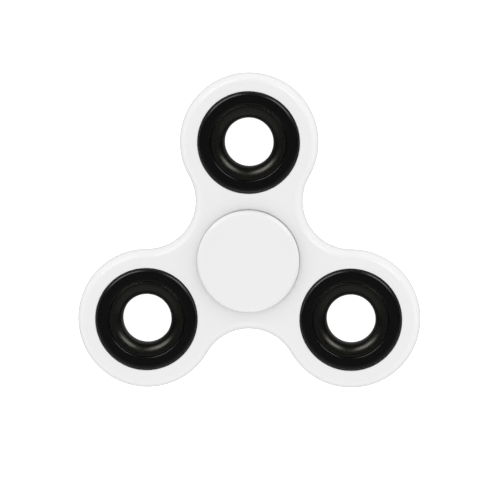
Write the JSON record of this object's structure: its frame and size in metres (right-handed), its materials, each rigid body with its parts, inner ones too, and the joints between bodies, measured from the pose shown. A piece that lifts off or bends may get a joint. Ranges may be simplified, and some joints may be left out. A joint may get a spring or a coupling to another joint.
{
  "type": "fidget spinner",
  "caption": "Lobed finger spinner: a moulded body turns on a ball bearing between finger caps, with a round ring weight in each lobe.",
  "frame": {"origin": "centre of the middle ball bearing, on the spin axis, half way through the body", "axes": "+Z along the spin axis, out of the front finger cap; +Y towards the first lobe; +X completes the right-handed frame"},
  "size_m": [0.075, 0.0691, 0.0128],
  "materials": {
    "white_abs_body": "satin",
    "white_abs_cap": "satin",
    "black_abs_bezel": "satin",
    "black_weight": "satin",
    "race_steel": "satin",
    "ball_steel": "polished",
    "cage_steel": "satin",
    "shield_steel": "satin"
  },
  "bodies": {
    "hub": {"rear_finger_cap": "white_abs_cap", "front_finger_cap": "white_abs_cap", "bearing_inner_race": "race_steel"},
    "rotor": {"spinner_body": "white_abs_body", "bearing_outer_race": "race_steel", "bearing_shield_front": "shield_steel", "bearing_shield_rear": "shield_steel", "ring_weight_1": "black_weight", "bezel_front_1": "black_abs_bezel", "bezel_rear_1": "black_abs_bezel", "ring_weight_2": "black_weight", "bezel_front_2": "black_abs_bezel", "bezel_rear_2": "black_abs_bezel", "ring_weight_3": "black_weight", "bezel_front_3": "black_abs_bezel", "bezel_rear_3": "black_abs_bezel"},
    "ball_cage": {"cage_front_half": "cage_steel", "cage_rear_half": "cage_steel", "cage_rivets": "cage_steel"},
    "ball_1": {"bearing_ball_1": "ball_steel"},
    "ball_2": {"bearing_ball_2": "ball_steel"},
    "ball_3": {"bearing_ball_3": "ball_steel"},
    "ball_4": {"bearing_ball_4": "ball_steel"},
    "ball_5": {"bearing_ball_5": "ball_steel"},
    "ball_6": {"bearing_ball_6": "ball_steel"},
    "ball_7": {"bearing_ball_7": "ball_steel"}
  },
  "joints": [
    {"name": "rotor_spin", "type": "hinge", "parent": "hub", "child": "rotor", "pos_m": [0, 0, 0], "axis": [0, 0, 1], "continuous": true},
    {"name": "cage_orbit", "type": "hinge", "parent": "hub", "child": "ball_cage", "pos_m": [0, 0, 0], "axis": [0, 0, 1], "continuous": true},
    {"name": "ball_1_roll", "type": "hinge", "parent": "ball_cage", "child": "ball_1", "pos_m": [0, 0.0075, 0], "axis": [0, 0, 1], "continuous": true},
    {"name": "ball_2_roll", "type": "hinge", "parent": "ball_cage", "child": "ball_2", "pos_m": [-0.00586, 0.00468, 0], "axis": [0, 0, 1], "continuous": true},
    {"name": "ball_3_roll", "type": "hinge", "parent": "ball_cage", "child": "ball_3", "pos_m": [-0.00731, -0.00167, 0], "axis": [0, 0, 1], "continuous": true},
    {"name": "ball_4_roll", "type": "hinge", "parent": "ball_cage", "child": "ball_4", "pos_m": [-0.00325, -0.00676, 0], "axis": [0, 0, 1], "continuous": true},
    {"name": "ball_5_roll", "type": "hinge", "parent": "ball_cage", "child": "ball_5", "pos_m": [0.00325, -0.00676, 0], "axis": [0, 0, 1], "continuous": true},
    {"name": "ball_6_roll", "type": "hinge", "parent": "ball_cage", "child": "ball_6", "pos_m": [0.00731, -0.00167, 0], "axis": [0, 0, 1], "continuous": true},
    {"name": "ball_7_roll", "type": "hinge", "parent": "ball_cage", "child": "ball_7", "pos_m": [0.00586, 0.00468, 0], "axis": [0, 0, 1], "continuous": true}
  ],
  "couplings": [
    {"joint": "cage_orbit", "follows": "rotor_spin", "ratio": 0.63229},
    {"joint": "ball_1_roll", "follows": "rotor_spin", "ratio": 1.7575},
    {"joint": "ball_2_roll", "follows": "rotor_spin", "ratio": 1.7575},
    {"joint": "ball_3_roll", "follows": "rotor_spin", "ratio": 1.7575},
    {"joint": "ball_4_roll", "follows": "rotor_spin", "ratio": 1.7575},
    {"joint": "ball_5_roll", "follows": "rotor_spin", "ratio": 1.7575},
    {"joint": "ball_6_roll", "follows": "rotor_spin", "ratio": 1.7575},
    {"joint": "ball_7_roll", "follows": "rotor_spin", "ratio": 1.7575}
  ]
}
